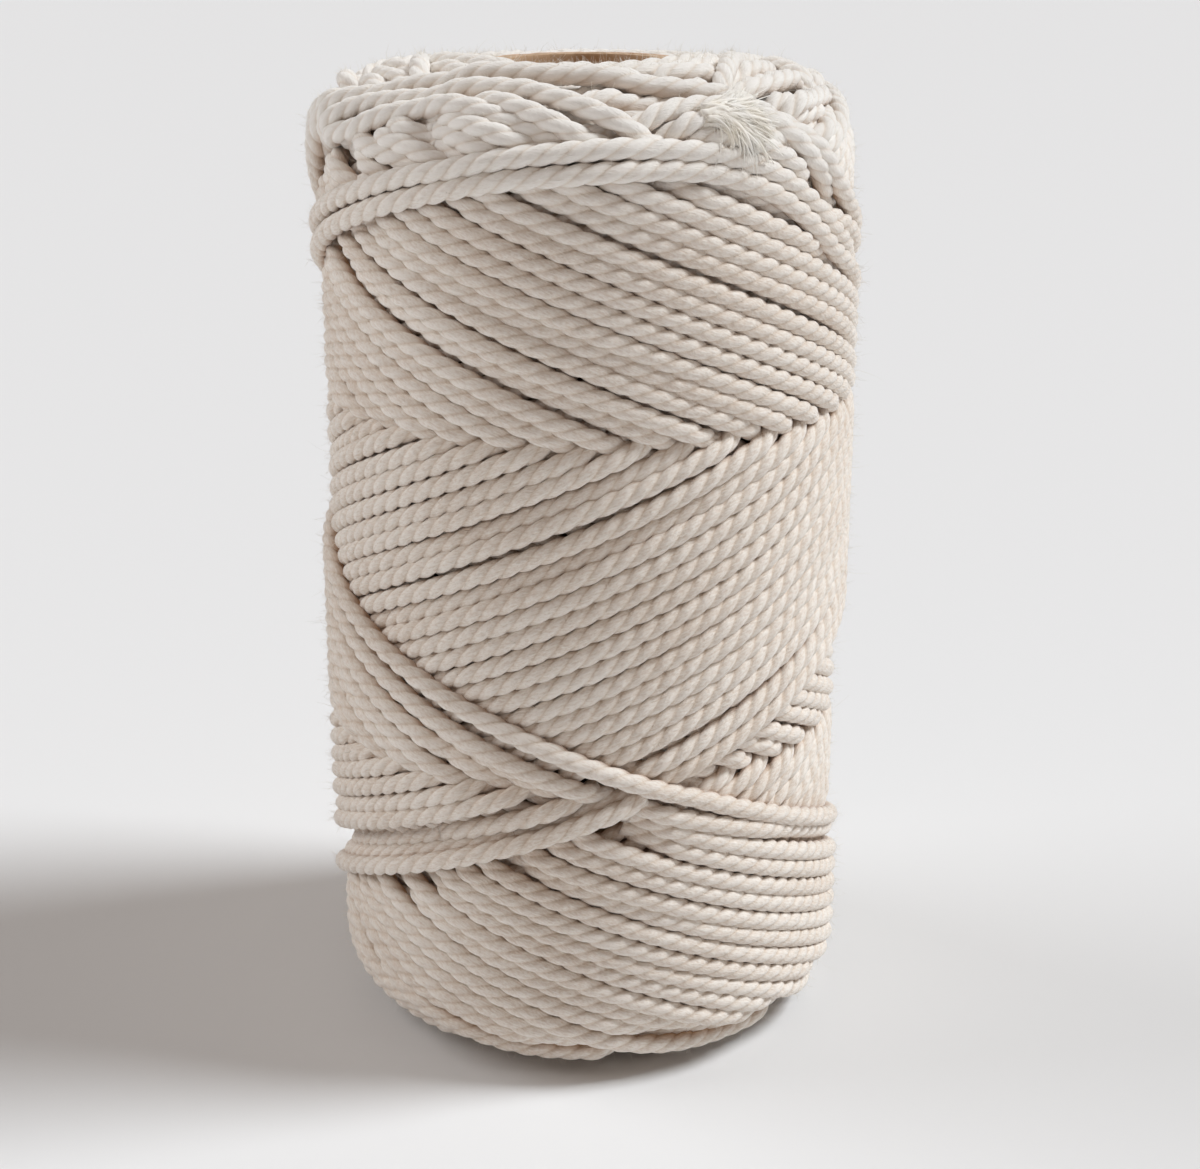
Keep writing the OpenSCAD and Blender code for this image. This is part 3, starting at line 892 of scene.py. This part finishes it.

def cotton_finish(name, pale, warm, crevice_shade):
    """Spun cotton between two tones, with painted shade in the grooves and between cords, and painted
    light on the head.
    """
    f = Finish(name)
    f.shader.inputs["Roughness"].default_value = 0.92
    f.shader.inputs["Specular IOR Level"].default_value = 0.12
    f.shader.inputs["Sheen Weight"].default_value = 0.5
    f.shader.inputs["Sheen Roughness"].default_value = 0.5
    strand = f.node("SeparateXYZ", [("Vector", f.node("UVMap", uv_map="strand").outputs["UV"])])
    run, turns = strand.outputs["X"], strand.outputs["Y"]
    lengthwise = f.maths("SUBTRACT", turns, f.maths("MULTIPLY", run, 1 / LAY))
    hairs = streaks(f, run, lengthwise, 1.3, 36, 4.0)
    yarns = streaks(f, run, lengthwise, 0.5, 16, 2.0)
    tone = streaks(f, run, lengthwise, 0.02, 0.0, 2.0)
    place = f.node("TexCoord").outputs["Object"]
    drift = f.node("TexNoise", [("Vector", place)], Scale=60.0, Detail=3.0).outputs["Fac"]
    blend = 0
    for part, share in ((hairs, 0.42), (yarns, 0.26), (tone, 0.18), (drift, 0.14)):
        blend = f.maths("ADD", f.maths("MULTIPLY", part, share), blend)
    colour = f.colours(blend, [(0.41, warm), (0.55, pale)])
    height = f.node("SeparateXYZ", [("Vector", place)]).outputs["Z"]
    head_light = f.node("MapRange", [("Value", height)], interpolation_type="SMOOTHSTEP",
                     From_Min=HEAD_LIGHT_FROM, From_Max=HEAD_LIGHT_TO).outputs["Result"]
    # Painted light: the cotton turns near white on the head, where the light from above falls
    colour = f.mixed(head_light, colour, f.mixed(0.9, colour, (0.985, 0.965, 0.925)))
    groove_shade = groove_shade_mask(f, turns)
    # Painted shade in the grooves between strands
    colour = f.mixed(groove_shade, colour, f.mixed(1.0, colour, (0.86, 0.78, 0.70), "MULTIPLY"))
    # Painted shade between and under cords, where a spot faces inwards or lies deep
    colour = f.mixed(shut_in(f, head_light), colour, f.mixed(1.0, colour, crevice_shade, "MULTIPLY"))
    f.join(colour, f.shader.inputs["Base Color"])
    raised = f.maths("ADD", hairs, f.maths("MULTIPLY", yarns, 0.8))
    bump = f.node("Bump", [("Height", raised)], Distance=0.0002, Strength=0.9)
    f.join(bump.outputs["Normal"], f.shader.inputs["Normal"])
    return f.material

cord_cotton = cotton_finish("cord_cotton", pale=(0.955, 0.902, 0.835), warm=(0.79, 0.69, 0.595),
                            crevice_shade=(0.50, 0.31, 0.18))
for o in top_cords + under_cords + end_cords + tail:
    o.data.materials.append(cord_cotton)
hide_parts("frayed_end")
print("cords finished")

# %% Cotton of the imported middle, dark with painted shade
f = Finish("packed_cotton_shade")
f.shader.inputs["Roughness"].default_value = 0.95
place = f.node("TexCoord").outputs["Object"]
ropes = f.node("TexWave", [("Vector", place)], wave_type="BANDS", bands_direction="Z",
               Scale=50.0, Distortion=6.0).outputs["Fac"]
# Painted shade: dark browns, for the shade deep in the gaps; the cotton itself is as pale as the cords
shaded_rope_tones = f.colours(ropes, [(0.1, (0.20, 0.14, 0.09)), (0.8, (0.46, 0.37, 0.27))])
f.join(shaded_rope_tones, f.shader.inputs["Base Color"])
bump = f.node("Bump", [("Height", ropes)], Distance=0.001, Strength=0.8)
f.join(bump.outputs["Normal"], f.shader.inputs["Normal"])
packed.data.materials.append(f.material)
print("packed middle finished")

# %% Cotton of the loose fibres, which lets some light through
LET_THROUGH = 0.3              # share of the light
f = Finish("loose_cotton")
f.shader.inputs["Roughness"].default_value = 0.8
place = f.node("TexCoord").outputs["Object"]
patches = f.node("TexNoise", [("Vector", place)], Scale=400.0, Detail=2.0).outputs["Fac"]
pale_patches = f.colours(patches, [(0.3, (0.90, 0.85, 0.76)), (0.7, (0.97, 0.95, 0.91))])
f.join(pale_patches, f.shader.inputs["Base Color"])
glow = f.node("BsdfTranslucent", [("Color", pale_patches)])
both = f.node("MixShader", [(1, f.shader.outputs["BSDF"]), (2, glow.outputs["BSDF"])])
both.inputs[0].default_value = LET_THROUGH
f.join(both.outputs["Shader"], f.tree.nodes["Material Output"].inputs["Surface"])
for o in fuzz:
    o.data.materials.append(f.material)
print("loose fibres finished")

# %% Cotton of the brush at the cut end
f = Finish("brushed_cotton")
f.shader.inputs["Roughness"].default_value = 0.9
f.shader.inputs["Sheen Weight"].default_value = 0.4
place = f.node("TexCoord").outputs["Object"]
clumps = f.node("TexNoise", [("Vector", place)], Scale=260.0, Detail=3.0).outputs["Fac"]
clump_tones = f.colours(clumps, [(0.32, (0.97, 0.92, 0.82)), (0.58, (0.99, 0.97, 0.92))])
f.join(clump_tones, f.shader.inputs["Base Color"])
for o in (locks, yarns, brush):
    o.data.materials.append(f.material)
print("brush finished")

# %% [markdown]
# ## Paper and board
# The tube is recycled board: warm brown, speckled with darker and paler fibres. The liner and
# the wrap are smoother paper, wound on at a slant, so each has one seam that climbs the tube
# like a screw thread.

# %% Board and paper
def board_finish(name, dark, pale, seam_rise=None, rough=0.85, grain=1.0):
    """Speckled board, or paper with one seam that climbs by seam_rise metres in a turn."""
    f = Finish(name)
    f.shader.inputs["Roughness"].default_value = rough
    f.shader.inputs["Specular IOR Level"].default_value = 0.3
    place = f.node("TexCoord").outputs["Object"]
    stretched = f.node("Mapping", [("Vector", place)])
    stretched.inputs["Scale"].default_value = (1, 1, 0.35)
    specks = f.node("TexNoise", [("Vector", stretched.outputs["Vector"])],
                    Scale=900.0, Detail=4.0, Roughness=0.7).outputs["Fac"]
    clouds = f.node("TexNoise", [("Vector", place)], Scale=120.0, Detail=3.0).outputs["Fac"]
    mottle = f.maths("ADD", f.maths("MULTIPLY", specks, 0.6), f.maths("MULTIPLY", clouds, 0.4))
    colour = f.colours(mottle, [(0.36, dark), (0.62, pale)])
    height = specks
    if seam_rise:
        xyz = f.node("SeparateXYZ", [("Vector", place)])
        around = f.maths("ARCTAN2", xyz.outputs["Y"], xyz.outputs["X"])
        around = f.maths("MULTIPLY", around, 1 / (2 * math.pi))
        screw = f.maths("FRACT", f.maths("ADD", around, f.maths("DIVIDE", xyz.outputs["Z"], seam_rise)))
        seam = f.maths("LESS_THAN", f.maths("ABSOLUTE", f.maths("SUBTRACT", screw, 0.5)), 0.004)
        colour = f.mixed(seam, colour, f.mixed(1.0, colour, (0.62, 0.55, 0.48), "MULTIPLY"))
        height = f.maths("SUBTRACT", height, f.maths("MULTIPLY", seam, 3.0))
    f.join(colour, f.shader.inputs["Base Color"])
    bump = f.node("Bump", [("Height", height)], Distance=0.00008 * grain, Strength=0.6)
    f.join(bump.outputs["Normal"], f.shader.inputs["Normal"])
    return f.material

print("board helper ready")

# %% Finish the five plies
for node, slot, *look in (
        ("tube_liner_ply", "liner_paper", "liner_kraft",
         (0.50, 0.33, 0.20), (0.66, 0.47, 0.31), 0.062, 0.7, 0.6),
        ("tube_inner_board_ply", "tube_board", "inner_board", (0.42, 0.30, 0.20), (0.60, 0.45, 0.32)),
        ("tube_middle_board_ply", "tube_board", "middle_board", (0.50, 0.36, 0.25), (0.68, 0.52, 0.38)),
        ("tube_outer_board_ply", "tube_board", "outer_board", (0.43, 0.31, 0.21), (0.62, 0.46, 0.33)),
        ("tube_wrap_ply", "wrap_paper", "wrap_kraft",
         (0.58, 0.38, 0.25), (0.76, 0.55, 0.40), 0.075, 0.7, 0.6)):
    walls[node].data.materials.append(board_finish(*look))
print("tube finished")
